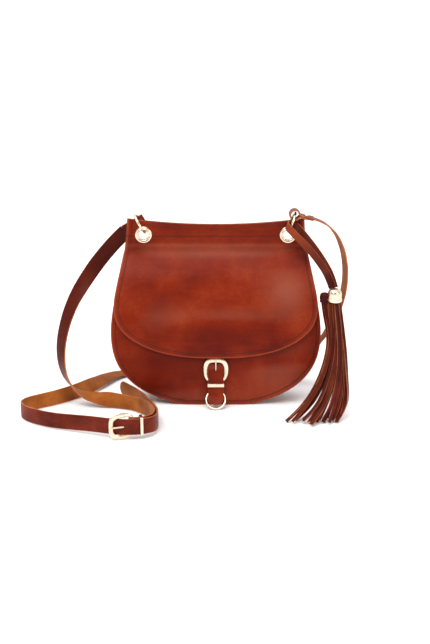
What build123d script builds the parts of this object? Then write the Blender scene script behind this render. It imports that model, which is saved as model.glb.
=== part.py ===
from build123d import *
import os
from math import atan2, cos, degrees, radians, sin, tan

# Saddle-shaped sling bag standing on its rounded base, with its strap laid on the floor beside it.
# Millimetres. Looked at from the front, +X is to the right, -Y comes out of the flap and +Z is up.
# The origin is on the floor, under the middle of the base.

# ---- driving dimensions -------------------------------------------------------------------------
LEATHER = 2.3            # body leather
GUSSET_T = 2.0
BACK_Y = 28.0            # outer face of the back panel
CORNER_X = 115.0         # half width at the top corners
CORNER_Z = 239.0         # height of the top corners
TOP_DIP = 7.5            # how far the top edge sags at its middle
BASE_HALF = 30.0         # half length of the flat the bag stands on
FRONT_TOP_Z = 192.0      # top edge of the front panel
HINGE_Z = 206.0          # line where the flap bends
HINGE_GAP = 1.5          # clear strip between band and flap solids
HOLE_X = 95.5            # grommet centres
HOLE_Z = 218.0
HOLE_R = 6.2             # clear hole of the grommet
FLANGE_R = 11.2
BARREL = 0.8             # wall of the eyelet's barrel
RING_R = 13.5            # shoulder rings, to the middle of the wire
WIRE_R = 1.5
LOW_RING_R = 12.5        # ring below the closure
LOW_WIRE_R = 1.2
STRAP_W = 20.0
STRAP_T = 2.4
CLOSURE_T = 1.8
CHAPE_T = 1.2
FRAME_L = 28.0           # buckle, heel bar to the outer edge of its far bar
FRAME_HALF = 16.0
BAR_R = 1.4              # heel bar
LACE_W = 9.0
LACE_T = 2.0
CLEAR = 0.3              # gap kept between soft pieces and the wires they hold
FLANGE_T = 1.1           # grommet's front flange
WASHER_T = 1.0           # grommet's washer behind
SNAP_Z = 54.0            # magnetic snap behind the closure strap
SNAP_R = 6.0
SNAP_POST_R = 1.5
FOLD_TAIL = 24.0         # length of a strap's fold past its ring
LOOP_R = 4.4             # inside of that fold's loop, wide enough for the ring's curve
LOOP_SHIFT = 2.3         # the loop's middle, from the wire towards the ring's centre
CHAPE_TAIL = 15.0        # length of the fold that holds the strap's buckle
BUCKLE_TURN = 14.0       # the strap buckle's far bar points to -X, turned this much to the front
TAB_W = 7.6              # the closure's chape narrows to this below its keeper

BAND_Y = BACK_Y - LEATHER - LEATHER     # front face of the top band
REACH = 160.0            # half width of an uncut sheet, past both sides of the bag
AHEAD = -60.0            # a plane in front of the whole body


# ---- helpers ------------------------------------------------------------------------------------
def save(shape, name):
    shape.label = name
    export_step(shape, f"parts/{name}.step")


def unit(v):
    return Vector(*v).normalized()


def slab(face, y_low, y_high):
    """A face drawn in X and Z, carried along Y from y_low to y_high."""
    return extrude(Pos(0, y_low, 0) * face, amount=y_high - y_low, dir=(0, 1, 0))


def curved_sheet(profile, thickness, half_width):
    """A sheet whose outer face follows a profile of (y, z) points, straight along X."""
    outer = Spline(*[(0, y, z) for y, z in profile])
    inner = Spline(*[(0, y + thickness, z) for y, z in profile])
    face = make_face(outer + inner + Line(outer @ 0, inner @ 0) + Line(outer @ 1, inner @ 1))
    return extrude(face, amount=half_width, dir=(1, 0, 0), both=True)


def space_behind(profile, thickness, y_back, half_width):
    """Everything between a sheet's inner face and a plane behind it."""
    inner = Spline(*[(0, y + thickness, z) for y, z in profile])
    low, high = inner @ 0, inner @ 1
    corner_low, corner_high = (0, y_back, low.Z), (0, y_back, high.Z)
    face = make_face(inner + Polyline(low, corner_low, corner_high, high))
    return extrude(face, amount=half_width, dir=(1, 0, 0), both=True)


def corner_radii(points, share=0.45):
    """The largest arc for each corner of a route, from the shorter of its two runs."""
    radii = []
    for before, here, after in zip(points, points[1:], points[2:]):
        run_in = Vector(*here) - Vector(*before)
        run_out = Vector(*after) - Vector(*here)
        half_turn = radians(run_in.get_angle(run_out)) / 2
        radii.append(share * min(run_in.length, run_out.length) / tan(half_turn))
    return radii


def ribbon(name, route, sides, width, thickness, step=9.0):
    """A flat strap along a route; sides gives the direction of its width at each point."""
    radii = corner_radii(route)
    path = FilletPolyline(*route, radius=radii).wire()
    marks = [0.0]
    for before, here in zip(route, route[1:]):
        marks.append(marks[-1] + (Vector(*here) - Vector(*before)).length)
    marks = [mark / marks[-1] for mark in marks]
    count = max(2, round(path.length / step))
    sections = []
    leg = 0
    for i in range(count + 1):
        at = i / count
        while leg < len(marks) - 2 and at > marks[leg + 1]:
            leg += 1
        share = (at - marks[leg]) / (marks[leg + 1] - marks[leg])
        side = unit(sides[leg]) * (1 - share) + unit(sides[leg + 1]) * share
        along = path.tangent_at(at)
        side = (side - along * side.dot(along)).normalized()
        across = along.cross(side) * (thickness / 2)
        half = side * (width / 2)
        middle = path.position_at(at)
        corners = [middle - half - across, middle + half - across,
                   middle + half + across, middle - half + across]
        sections.append(Wire.make_polygon(corners, close=True))
    solid = Solid.make_loft(sections, ruled=True)
    print(f"{name}: length {path.length:.0f}, tightest radius {min(radii):.1f}, "
          f"volume ratio {solid.volume / (path.length * width * thickness):.3f}")
    return solid


def fold(inner_r, thickness, width, tail):
    """A strap's end folded into a loop on local X, its two layers running to local -Z."""
    face = Circle(inner_r + thickness) + Pos(-tail / 2, 0) * Rectangle(tail, 2 * thickness)
    face -= Circle(inner_r)
    plane = Plane(origin=(0, 0, 0), x_dir=(0, 0, 1), z_dir=(1, 0, 0))
    return extrude(plane * face, amount=width / 2, both=True)


def rivet(through, head_r=3.4):
    """A double-cap rivet on local Y, through a stack of the stated thickness."""
    cap = Cylinder(head_r, 0.9) + Pos(0, 0, 0.7) * Cylinder(head_r * 0.7, 0.5)
    top = Pos(0, 0, through / 2 + 0.45) * cap
    bottom = Rot(180, 0, 0) * top
    return Rot(90, 0, 0) * (top + bottom + Cylinder(1.3, through))


def rod_hole(through):
    return Rot(90, 0, 0) * Cylinder(1.3, through)


def ring(centre, tilt, radius, wire):
    """A round ring whose plane holds Y and the tilt direction."""
    plane = Plane(origin=centre, x_dir=(0, 1, 0), z_dir=Vector(0, 1, 0).cross(unit(tilt)))
    return plane * Torus(radius, wire)


def buckle_frame(far_y):
    """Heel bar on local X at the origin, far bar towards local +Z and far_y behind or before it."""
    right = [(11.2, -1.9), (14.6, 4.0), (FRAME_HALF, 10.0), (15.4, 19.5), (11.6, 26.0), (5.0, FRAME_L)]
    outer_side = Spline(*right)
    outer = outer_side + Line((5.0, FRAME_L), (-5.0, FRAME_L)) + mirror(outer_side, Plane.YZ)
    outer += Line((-11.2, -1.9), (11.2, -1.9))
    hole_side = Spline((10.4, 2.2), (11.0, 10.0), (10.4, 18.5), (7.2, 22.3), (3.0, 23.2))
    hole = hole_side + Line((3.0, 23.2), (-3.0, 23.2)) + mirror(hole_side, Plane.YZ)
    hole += Line((-10.4, 2.2), (10.4, 2.2))
    lower = Pos(0, 0.2) * Rectangle(20.8, 6.5)
    plate = make_face(outer) - make_face(hole) - lower
    tilt = degrees(atan2(far_y, FRAME_L - 2.4))
    body = extrude(plate, amount=1.5, both=True)
    body = Rot(90 - tilt, 0, 0) * body
    bar = Rot(0, 90, 0) * Cylinder(BAR_R, 21.6)
    return body + bar


def prong(hub_r, tip_y, tip_z):
    """A prong that turns on the heel bar and rests on the far bar."""
    hub = Rot(0, 90, 0) * (Cylinder(hub_r, 3.4) - Cylinder(BAR_R + 0.05, 3.4))
    start = (0, -hub_r + 0.9, 1.0)
    length = (Vector(0, tip_y, tip_z) - Vector(*start)).length
    shank = Plane(origin=start, x_dir=(1, 0, 0), z_dir=(0, tip_y - start[1], tip_z - start[2]))
    pin = shank * Cylinder(1.05, length, align=(Align.CENTER, Align.CENTER, Align.MIN))
    tip = Pos(0, tip_y, tip_z) * Sphere(1.05)
    return hub + (pin - Rot(0, 90, 0) * Cylinder(BAR_R + 0.05, 8)) + tip


def keeper(half_x, y_front, y_back, z_low, height, wall=1.2):
    """A flat metal loop round a stack of straps."""
    depth = y_back - y_front
    middle = Pos(0, (y_front + y_back) / 2, z_low + height / 2)
    outer = Box(2 * half_x + 2 * wall, depth + 2 * wall, height)
    outer = fillet(outer.edges().filter_by(Axis.Z), 1.0)
    return middle * (outer - Box(2 * half_x, depth, height))


def straight_strap(profile, thickness, width):
    """A strap that bends only in Y and Z, from its middle line."""
    line = FilletPolyline(*[(0, y, z) for y, z in profile],
                          radius=corner_radii([(0, y, z) for y, z in profile]))
    plane = Plane(origin=line @ 0, x_dir=(1, 0, 0), z_dir=line % 0)
    return sweep(plane * Rectangle(width, thickness), path=line)


def tapered(stations):
    """A closed solid through level ellipses of (x, y, z, half x, half y)."""
    sections = [Pos(x, y, z) * Ellipse(a, b) if abs(a - b) > 0.01 else Pos(x, y, z) * Circle(a)
                for x, y, z, a, b in stations]
    return loft(sections, ruled=True)


os.makedirs("parts", exist_ok=True)

# ---- body outline -------------------------------------------------------------------------------
SIDE = [(BASE_HALF, 0.0), (69.0, 8.0), (103.0, 26.5), (126.0, 54.0), (135.0, 97.0),
        (129.0, 145.0), (119.0, 200.0), (CORNER_X, CORNER_Z)]
SIDE_ENDS = [(1, 0, 0), (-0.05, 0, 1)]      # directions at the base and at the top corner


def inset_side(depth):
    """The right side's points, moved into the bag by a wall's thickness."""
    curve = Spline(*[(x, 0, z) for x, z in SIDE], tangents=SIDE_ENDS)
    moved = []
    for x, z in SIDE:
        along = curve % curve.param_at_point((x, 0, z))
        moved.append((x - depth * along.Z, z + depth * along.X))
    return moved


def body_face(side):
    """An outline in X and Z from its right side: flat base, curved sides, sagging top edge."""
    right = Spline(*[(x, 0, z) for x, z in side], tangents=SIDE_ENDS)
    left = mirror(right, Plane.YZ)
    (base_x, base_z), (top_x, top_z) = side[0], side[-1]
    top = ThreePointArc((-top_x, 0, top_z), (0, 0, top_z - TOP_DIP), (top_x, 0, top_z))
    base = Line((-base_x, 0, base_z), (base_x, 0, base_z))
    return make_face(right + left + top + base)


outline = body_face(SIDE)
FRONT = [(-30.0, 0.0), (-31.0, 35.0), (-30.0, 72.0), (-25.0, 110.0), (-14.0, 150.0),
         (6.0, FRONT_TOP_Z)]
inner_outline = body_face(inset_side(GUSSET_T))

back_panel = slab(outline, BACK_Y - LEATHER, BACK_Y)
front_panel = curved_sheet(FRONT, LEATHER, REACH) & slab(outline, AHEAD, BACK_Y)
hollow = space_behind(FRONT, LEATHER, BACK_Y - LEATHER, REACH)
gusset = (hollow & slab(outline, AHEAD, BACK_Y)) - slab(inner_outline, AHEAD, BACK_Y)

band_zone = Pos(0, 0, HINGE_Z + 50) * Box(400, 400, 100)
flap_band = slab(outline, BAND_Y, BACK_Y - LEATHER) & band_zone

# ---- flap ---------------------------------------------------------------------------------------
FLAP_SIDE = [(0.0, 66.5), (50.0, 69.5), (99.0, 85.0), (127.0, 111.0), (131.5, 132.0), (128.5, 155.0),
             (118.4, HINGE_Z)]
FLAP_PROFILE = [(BAND_Y, HINGE_Z - HINGE_GAP), (15.0, 199.0), (0.5, 190.5), (-10.5, 175.0), (-21.5, 149.0),
                (-32.0, 110.0), (-36.0, 80.0), (-36.6, 64.0)]
flap_right = Spline(*[(x, 0, z) for x, z in FLAP_SIDE], tangents=[(1, 0, 0), (-0.2, 0, 1)])
flap_top = Line((-FLAP_SIDE[-1][0], 0, HINGE_Z), (FLAP_SIDE[-1][0], 0, HINGE_Z))
flap_face = make_face(flap_right + mirror(flap_right, Plane.YZ) + flap_top)
flap = curved_sheet(FLAP_PROFILE, LEATHER, REACH) & slab(flap_face, AHEAD, BACK_Y)

# ---- grommets and rings -------------------------------------------------------------------------
barrel_hole = Rot(90, 0, 0) * Cylinder(HOLE_R + BARREL + 0.05, 60)
for side in (-1, 1):
    hole = Pos(side * HOLE_X, BACK_Y, HOLE_Z) * barrel_hole
    back_panel -= hole
    flap_band -= hole


def annulus(r_in, r_out, y_front, y_back):
    ring_body = Cylinder(r_out, y_back - y_front) - Cylinder(r_in, y_back - y_front)
    return Pos(0, (y_front + y_back) / 2, 0) * Rot(90, 0, 0) * ring_body


def eyelet():
    flange = annulus(HOLE_R, FLANGE_R, BAND_Y - FLANGE_T, BAND_Y)
    roll = Pos(0, BAND_Y - FLANGE_T, 0) * Rot(90, 0, 0) * Torus(HOLE_R + 1.5, 1.0)
    barrel = annulus(HOLE_R, HOLE_R + BARREL, BAND_Y, BACK_Y + WASHER_T)
    return flange + roll + barrel


washer = annulus(HOLE_R + BARREL, FLANGE_R - 0.8, BACK_Y, BACK_Y + WASHER_T)
for side, word in ((-1, "left"), (1, "right")):
    place = Pos(side * HOLE_X, 0, HOLE_Z)
    save(place * eyelet(), f"grommet_{word}_eyelet")
    save(place * washer, f"grommet_{word}_washer")

RING_Y = (BAND_Y + BACK_Y) / 2
LEFT_CENTRE = (-99.5, RING_Y, 232.5)
LEFT_TILT = (-0.5, 0, 0.866)
RIGHT_CENTRE = (99.8, RING_Y, 234.6)
RIGHT_TILT = (0.37, 0, 0.93)
save(ring(LEFT_CENTRE, LEFT_TILT, RING_R, WIRE_R), "ring_left")
save(ring(RIGHT_CENTRE, RIGHT_TILT, RING_R, WIRE_R), "ring_right")

# ---- magnetic snap ------------------------------------------------------------------------------
panel_y = -31.0          # the front panel's outer face at that height


def disc_on_y(y, radius, length):
    return Pos(0, y, SNAP_Z) * Rot(90, 0, 0) * Cylinder(radius, length)


socket = disc_on_y(panel_y - 0.8, SNAP_R, 1.5) + disc_on_y(panel_y + 1.2, SNAP_POST_R, 4.2)
socket_plate = disc_on_y(panel_y + 3.4, SNAP_R - 0.5, 0.8) - disc_on_y(panel_y + 3.4, SNAP_POST_R, 0.8)
front_panel -= disc_on_y(panel_y + 1.2, SNAP_POST_R + 0.05, 12)
save(socket, "snap_socket")
save(socket_plate, "snap_socket_plate")

save(back_panel, "back_panel")
save(front_panel, "front_panel")
save(gusset, "gusset")
save(flap_band, "flap_band")
save(flap, "flap")

# ---- closure ------------------------------------------------------------------------------------
HEEL = (0, -36.9, 37.8)
BILLET = [(-30.5, 96.0), (-31.7, 82.0), (-32.3, 73.0), (-33.1, 66.5), (-35.0, 60.0), (-35.0, 52.5),
          (-41.1, 40.0), (-40.2, 30.0), (-41.0, 21.0), (-45.0, 12.5), (-48.5, 6.5)]
billet = straight_strap(BILLET, CLOSURE_T, STRAP_W)
tip_keep = Pos(0, -48.5, 16.2) * Rot(90, 0, 0) * Cylinder(10.6, 14)
above_tip = Pos(0, -40, 66) * Box(60, 60, 100)
billet = billet & (above_tip + tip_keep)
billet = billet.solids().sort_by(SortBy.VOLUME)[-1]
billet -= Pos(0, -37.0, 48.0) * Box(4.8, 12, 20.5)
save(billet, "closure_strap")

stud = annulus(2.4, SNAP_R, panel_y - 2.6, panel_y - 1.7)
stud = Pos(0, 0, SNAP_Z) * stud
save(stud, "snap_stud")

closure_place = Pos(*HEEL)
save(closure_place * buckle_frame(-0.5), "closure_buckle_frame")
save(closure_place * prong(BAR_R + CLEAR + CHAPE_T, -3.2, 26.0), "closure_prong")

low_axis = (0, HEEL[1], 22.4)
chape_gap = HEEL[2] - low_axis[2]
top_eye = BAR_R + CLEAR
low_eye = LOW_WIRE_R + 2.5 * CLEAR
chape_face = Circle(top_eye + CHAPE_T) + Pos(-chape_gap / 2, 0) * Rectangle(chape_gap, 2 * CHAPE_T)
chape_face += Pos(-chape_gap, 0) * Circle(low_eye + CHAPE_T)
chape_face -= Circle(top_eye) + Pos(-chape_gap, 0) * Circle(low_eye)
chape_plane = Plane(origin=HEEL, x_dir=(0, 0, 1), z_dir=(1, 0, 0))
chape = extrude(chape_plane * chape_face, amount=9.5, both=True)
chape -= Pos(0, HEEL[1], HEEL[2]) * Box(4.6, 12, 8.5)
for side in (-1, 1):
    chape -= Pos(side * (TAB_W / 2 + 10), HEEL[1], 17.0) * Box(20, 12, 22.0)
chape = chape.solids().sort_by(SortBy.VOLUME)[-1]
save(chape, "closure_chape")
save(keeper(10.3, -42.0, -35.4, 28.6, 4.6), "closure_keeper")

lean = radians(34.0)
low_centre = (0, low_axis[1] - LOW_RING_R * sin(lean), low_axis[2] - LOW_RING_R * cos(lean))
low_ring = Plane(origin=low_centre, x_dir=(1, 0, 0), z_dir=(0, -cos(lean), sin(lean)))
save(low_ring * Torus(LOW_RING_R, LOW_WIRE_R), "closure_ring")

# ---- shoulder strap: the two folds at the rings ---------------------------------------------------
def at(place, x_dir, z_dir):
    return Plane(origin=place, x_dir=x_dir, z_dir=z_dir)


def fold_with_rivet(plane, word):
    """A strap's folded end, with a rivet through its two layers."""
    post = Plane.XY * Pos(0, 0, -FOLD_TAIL * 0.62)
    body = fold(LOOP_R, STRAP_T, STRAP_W - 1.5, FOLD_TAIL) - post * rod_hole(20)
    save(plane * body, f"{word}_fold")
    save(plane * (post * rivet(2 * STRAP_T)), f"{word}_rivet")


left_wire = Vector(*LEFT_CENTRE) + Vector(0, RING_R - LOOP_SHIFT, 0)
left_tilt = unit(LEFT_TILT)
left_away = Vector(-0.866, 0, -0.5)
fold_with_rivet(at(left_wire, left_tilt, -left_away), "strap_short")
right_wire = Vector(*RIGHT_CENTRE) + unit(RIGHT_TILT) * (RING_R - LOOP_SHIFT)
fold_with_rivet(at(right_wire, (0, 1, 0), (-1, 0, 0)), "strap_long")

# ---- strap buckle, standing on the floor ----------------------------------------------------------
BUCKLE_AT = (-101.0, -146.5, 16.6)
turn = radians(BUCKLE_TURN)
to_far = Vector(-cos(turn), -sin(turn), 0)
buckle_plane = at(BUCKLE_AT, (0, 0, 1), to_far)
save(buckle_plane * buckle_frame(-2.6), "strap_buckle_frame")
save(buckle_plane * prong(BAR_R + CLEAR + STRAP_T, -5.3, 25.6), "strap_prong")
strap_chape = fold(BAR_R + CLEAR, STRAP_T, STRAP_W - 1.2, CHAPE_TAIL) - Box(4.6, 14, 10)
strap_chape = strap_chape.solids().sort_by(SortBy.VOLUME)[-1]
save(buckle_plane * strap_chape, "strap_short_chape")
save(buckle_plane * keeper(10.7, -8.4, 2.8, -12.8, 3.6), "strap_keeper")

# ---- shoulder strap: the two lengths --------------------------------------------------------------
UP = (0, 0, 1)
DEEP = (0, 1, 0)
left_start = left_wire + left_away * FOLD_TAIL
SHORT_ROUTE = [
    (tuple(left_start), tuple(left_tilt)),
    ((-132, 37, 210), (-0.62, 0, 0.78)),
    ((-156, 31, 183), (-0.72, 0, 0.70)),
    ((-176, 24, 155), (-0.85, 0, 0.55)),
    ((-191, 15, 130), (-0.92, 0, 0.40)),
    ((-201, 5, 103), (-0.97, 0, 0.22)),
    ((-206, -7, 76), (-1.0, 0.05, 0.05)),
    ((-204, -19, 51), (-0.85, 0.5, -0.05)),
    ((-195, -29, 31), (-0.45, 0.85, 0.35)),
    ((-179, -34, 17), (-0.1, 0.55, 0.85)),
    ((-157, -36, 11.5), (0, -0.45, 1)),
    ((-131, -43, 10.5), (0, -0.35, 1)),
    ((-108, -53, 10.5), (0, -0.15, 1)),
    ((-92, -69, 11.5), UP),
    ((-81.5, -87, 12.5), UP),
    ((-76.5, -105, 13.5), UP),
    ((-75.5, -123, 15), UP),
    ((-79, -136.5, 16), UP),
    (tuple(Vector(*BUCKLE_AT) - to_far * CHAPE_TAIL), UP),
]
right_start = right_wire + Vector(1, 0, 0) * FOLD_TAIL
LONG_ROUTE = [
    (tuple(right_start), DEEP),
    ((140, 26, 240), DEEP),
    ((157, 26.5, 224), DEEP),
    ((168, 27, 202), DEEP),
    ((173.5, 28, 176), DEEP),
    ((174, 30, 149), DEEP),
    ((169, 34, 121), DEEP),
    ((160, 40, 94), DEEP),
    ((147, 48, 68), DEEP),
    ((129, 58, 42), DEEP),
    ((105, 69, 20), (0.1, 1, 0)),
    ((74, 79, 6), (0.3, 1, 0)),
    ((34, 88, 2.6), (0.25, 1, 0)),
    ((-10, 97, 2.2), (0.15, 1, 0)),
    ((-56, 104, 2.4), (0, 1, 0)),
    ((-100, 107, 2.2), (-0.2, 1, 0)),
    ((-132, 97, 3.4), (-0.6, 0.8, 0.2)),
    ((-150, 72, 7), (-0.75, 0.3, 0.65)),
    ((-162, 40, 9.5), (-0.4, 0.1, 0.9)),
    ((-175, 12, 10.5), (-0.25, 0.15, 1)),
    ((-190, -10, 10.5), (-0.2, 0.2, 1)),
    ((-208, -29, 10.5), (-0.1, 0.1, 1)),
    ((-228, -44, 10.5), UP),
    ((-244, -57, 10.5), UP),
    ((-250, -73, 10.5), UP),
    ((-240, -90, 10.5), UP),
    ((-222, -105, 11), UP),
    ((-199, -119, 12), UP),
    ((-173, -129, 13.5), UP),
    ((-149, -139.5, 15.5), UP),
    ((-124.7, -150.7, 16.6), UP),
    ((-99.3, -153.8, 16.6), UP),
    ((-84.7, -148.4, 16.2), UP),
    ((-74.5, -139.5, 15.3), UP),
    ((-71.3, -123, 13.6), UP),
    ((-72.5, -104, 12), UP),
    ((-77.5, -84, 11), UP),
    ((-87, -59, 10.3), UP),
    ((-98, -34, 10.2), UP),
    ((-113.5, -10, 10.2), UP),
    ((-130, 13, 10.2), UP),
]


def strap(name, route):
    points = [point for point, side in route]
    return ribbon(name, points, [side for point, side in route], STRAP_W, STRAP_T)


save(strap("strap_short", SHORT_ROUTE), "strap_short")
strap_long = strap("strap_long", LONG_ROUTE) - buckle_plane * Pos(0, -4, 9.5) * Box(3.4, 12, 15)
save(strap_long, "strap_long")

# ---- tassel -------------------------------------------------------------------------------------
LACE_ROUTE = [
    ((148.5, -36.6, 162.6), (0.9, 0.1, 0.3)),
    ((143.5, -31, 175), (0.88, 0, 0.45)),
    ((134, -21.5, 189), (0.8, 0, 0.6)),
    ((121, -11.5, 205), (0.75, 0, 0.66)),
    ((105.5, -2.5, 219.5), (0.7, 0, 0.7)),
    ((93.6, 6, 230.6), (0.45, 0, 0.89)),
    ((92.6, 18.6, 233.5), (0.37, 0, 0.93)),
    ((105.6, 18.6, 230.8), (0.37, 0, 0.93)),
    ((108.6, 7.5, 228.4), (0.45, 0, 0.9)),
    ((116, 1, 220), (0.6, 0, 0.8)),
    ((127.5, -9.5, 206), (0.75, 0, 0.66)),
    ((139.5, -20.5, 189), (0.85, 0, 0.5)),
    ((148, -29.5, 173.5), (0.9, 0.05, 0.4)),
    ((151.6, -34.8, 162.8), (0.9, 0.1, 0.3)),
]
lace = ribbon("tassel_lace", [p for p, s in LACE_ROUTE], [s for p, s in LACE_ROUTE], LACE_W, LACE_T, 1.2)
save(lace, "tassel_lace")

CAP_AT = (151, -38.5, 144)
cap_profile = [(0, 15.8), (5.2, 15.4), (8.3, 12.2), (9.1, 7.0), (9.0, 4.0), (9.8, 3.6), (9.8, 0.4), (9.2, 0)]
cap_wall = Polyline(*[(r, 0, z) for r, z in cap_profile], (0, 0, 0), close=True)
tassel_cap = revolve(make_face(cap_wall), Axis.Z)
lean_cap = Pos(*CAP_AT) * Rot(8, 3, 0)
save(lean_cap * tassel_cap, "tassel_cap")
head_profile = [(0, 13.0), (4.2, 12.2), (6.0, 9.0), (5.8, 3.0), (5.0, 0)]
head_wall = Polyline(*[(r, 0, z) for r, z in head_profile], (0, 0, 0), close=True)
save(Pos(134.6, -37, 141) * revolve(make_face(head_wall), Axis.Z), "tassel_head")

FRINGE = [(151, -39, 142.6, 8.2, 8.2), (153, -46, 118, 8.6, 8.0), (154, -56, 88, 12.0, 9.0),
          (150, -70, 50, 19.0, 12.0), (138, -84, 20, 31.0, 15.0), (125, -91, 1.0, 38.0, 17.0)]
SECOND = [(134.8, -37.4, 140.6, 4.4, 4.4), (138.0, -47, 116, 4.2, 4.6), (136.0, -58, 88, 4.0, 4.6)]
save(tapered(FRINGE), "tassel_fringe")
save(tapered(SECOND), "tassel_second_fringe")
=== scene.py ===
import math
import random

import bmesh
import bpy
import mathutils
import numpy as np
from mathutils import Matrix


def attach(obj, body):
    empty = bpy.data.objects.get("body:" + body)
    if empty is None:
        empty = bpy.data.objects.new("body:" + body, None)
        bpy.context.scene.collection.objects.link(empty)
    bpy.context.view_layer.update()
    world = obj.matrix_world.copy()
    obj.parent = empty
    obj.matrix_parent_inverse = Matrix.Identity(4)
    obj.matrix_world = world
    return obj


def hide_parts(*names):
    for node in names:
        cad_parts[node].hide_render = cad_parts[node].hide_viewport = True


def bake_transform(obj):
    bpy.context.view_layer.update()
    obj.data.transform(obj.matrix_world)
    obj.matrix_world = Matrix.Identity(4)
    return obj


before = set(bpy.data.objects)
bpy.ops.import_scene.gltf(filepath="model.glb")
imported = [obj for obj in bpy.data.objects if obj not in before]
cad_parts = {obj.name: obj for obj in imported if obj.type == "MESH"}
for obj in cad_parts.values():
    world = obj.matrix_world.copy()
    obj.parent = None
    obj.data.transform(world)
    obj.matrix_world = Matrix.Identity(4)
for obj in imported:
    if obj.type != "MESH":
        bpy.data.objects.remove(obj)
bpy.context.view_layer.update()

rng = random.Random(7)
MM = 0.001

# ---- sizes, in millimetres, from the CAD part ---------------------------------------------------
LEATHER = 2.3
BACK_Y = 28.0             # outer face of the back panel
FRONT_TOP_Z = 192.0
CORNER_X = 115.0          # half width at the top corners
CORNER_Z = 239.0
TOP_DIP = 7.5             # how far the top edge sags at its middle
GROMMETS = ((-95.5, 218.0), (95.5, 218.0))
FLANGE_R = 11.2
GROMMET_CUTS = [(x, z, 8.2) for x, z in GROMMETS]
STRAP_W = 20.0
STRAP_T = 2.4
SEAM = 5.3                # stitch line to the edge
PROUD = 1.2               # how far the panels stand out past the outline
BAND_SEAM = 216.5         # height of the seam across the band
STRAP_HOLES = 6
FIRST_HOLE = 84           # from the strap's tip
HOLE_PITCH = 15
FRINGE_STRIPS = 26
SIDE_STRIPS = 5
SIDE = [(30, 0), (69, 8), (103, 26.5), (126, 54), (135, 97), (129, 145), (119, 200), (115, 239)]
FLAP_SIDE = [(0, 66.5), (50, 69.5), (99, 85), (127, 111), (131.5, 132), (128.5, 155), (118.6, 206),
             (115.2, 239)]
FRONT = [(-30, 0), (-31, 35), (-30, 72), (-25, 110), (-14, 150), (6, 192)]
FLAP_FACE = [(23.4, 241), (23.4, 226), (23.4, 214), (23.2, 207.5), (20.2, 202.8), (13, 199.4),
             (4, 194.8), (-4, 186.5), (-11.5, 174), (-22, 149), (-32, 110), (-36, 80), (-36.8, 64)]


# ---- camera, light, floor -----------------------------------------------------------------------
def add(name, data):
    obj = bpy.data.objects.new(name, data)
    bpy.context.scene.collection.objects.link(obj)
    return obj


def make_camera():
    cam = add("camera", bpy.data.cameras.new("camera"))
    cam.data.lens = 51.6
    cam.data.sensor_width = 36.0
    cam.location = (-0.001, -1.1841, 0.4226)
    cam.rotation_euler = (math.radians(75), 0, 0)
    bpy.context.scene.camera = cam


def area_light(name, place, aim, size, power, colour):
    light = bpy.data.lights.new(name, "AREA")
    light.shape = "RECTANGLE"
    light.size, light.size_y = size
    light.energy = power
    light.color = colour
    obj = add(name, light)
    direction = np.array(aim) - np.array(place)
    obj.location = place
    obj.rotation_euler = mathutils.Vector(direction).to_track_quat("-Z", "Y").to_euler()


# world strength along an axis: (axis, from, to, strength there, strength here)
FADES = (("Y", -0.55, 0.05, 0.22, 1.06), ("Z", 0.16, 0.24, 1.06, 0))
WHITE = (1, 1, 1)


def make_studio():
    """A white room, dim high in front so that the leather doesn't mirror it, white along the horizon."""
    scene = bpy.context.scene
    scene.view_settings.view_transform = "Standard"
    world = bpy.data.worlds.new("studio")
    world.use_nodes = True
    tree = world.node_tree
    direction = tree.nodes.new("ShaderNodeTexCoord")
    parts = tree.nodes.new("ShaderNodeSeparateXYZ")
    tree.links.new(direction.outputs["Generated"], parts.inputs["Vector"])
    strength = tree.nodes.new("ShaderNodeMath")
    strength.operation = "MAXIMUM"
    for k, (axis, low, high, at_low, at_high) in enumerate(FADES):
        fade = tree.nodes.new("ShaderNodeMapRange")
        for key, number in (("From Min", low), ("From Max", high), ("To Min", at_low), ("To Max", at_high)):
            fade.inputs[key].default_value = number
        tree.links.new(parts.outputs[axis], fade.inputs["Value"])
        tree.links.new(fade.outputs["Result"], strength.inputs[k])
    tree.links.new(strength.outputs["Value"], tree.nodes["Background"].inputs["Strength"])
    warmth = tree.nodes.new("ShaderNodeMix")
    warmth.data_type = "RGBA"
    warmth.inputs[6].default_value = (1, 0.86, 0.66, 1)
    warmth.inputs[7].default_value = (1, 1, 1, 1)
    tree.links.new(strength.outputs["Value"], warmth.inputs[0])
    tree.links.new(warmth.outputs[2], tree.nodes["Background"].inputs["Color"])
    scene.world = world
    sun = bpy.data.lights.new("overhead", "SUN")
    sun.energy = 2.3
    sun.angle = math.radians(60)
    lamp = add("overhead", sun)
    lamp.rotation_euler = (math.radians(22), math.radians(-10), 0)
    area_light("key", (-0.45, -1.0, 1.25), (0, 0, 0.1), (0.7, 0.5), 7, (1, 0.95, 0.88))
    area_light("right", (0.9, -0.9, 0.6), (0.05, 0, 0.14), (0.35, 0.5), 5, WHITE)
    bpy.ops.mesh.primitive_plane_add(size=30, location=(0, 0, -0.0003))
    floor = bpy.context.object
    floor.name = "floor"
    floor.data.materials.append(floor_material())


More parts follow.
